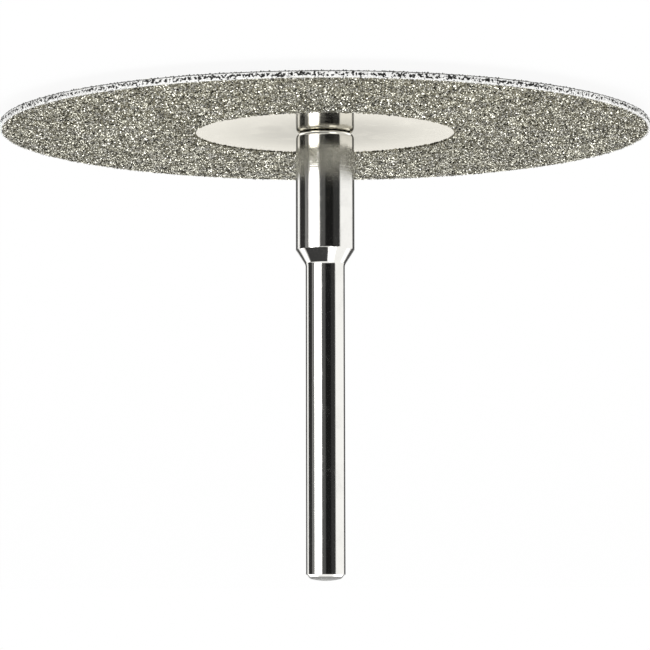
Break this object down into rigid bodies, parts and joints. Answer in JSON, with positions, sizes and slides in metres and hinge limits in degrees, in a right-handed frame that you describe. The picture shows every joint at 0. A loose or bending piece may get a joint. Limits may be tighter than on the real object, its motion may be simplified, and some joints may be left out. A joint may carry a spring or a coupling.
{
  "type": "diamond cutting disc",
  "caption": "Thin round cutting disc with a diamond-grit coating, clamped by a screw to the collar of a slim straight-shank mandrel.",
  "frame": {"origin": "centre of the clamp screw's flat head face, which is the lowest face and the one the part stands on", "axes": "+Z along the mandrel's axis, from the screw's head through the disc to the free end of the shank"},
  "size_m": [0.05, 0.05, 0.0357],
  "materials": {
    "plated_mandrel": "bright nickel plate over fine turning marks",
    "polished_blank": "polished spring steel with faint smudges",
    "diamond_grit": "rough electroplated nickel packed with diamond grit",
    "screw_steel": "turned screw steel"
  },
  "bodies": {
    "root": {"mandrel": "plated_mandrel", "steel_disc": "polished_blank", "diamond_coating": "diamond_grit", "clamp_screw": "screw_steel"}
  },
  "joints": []
}
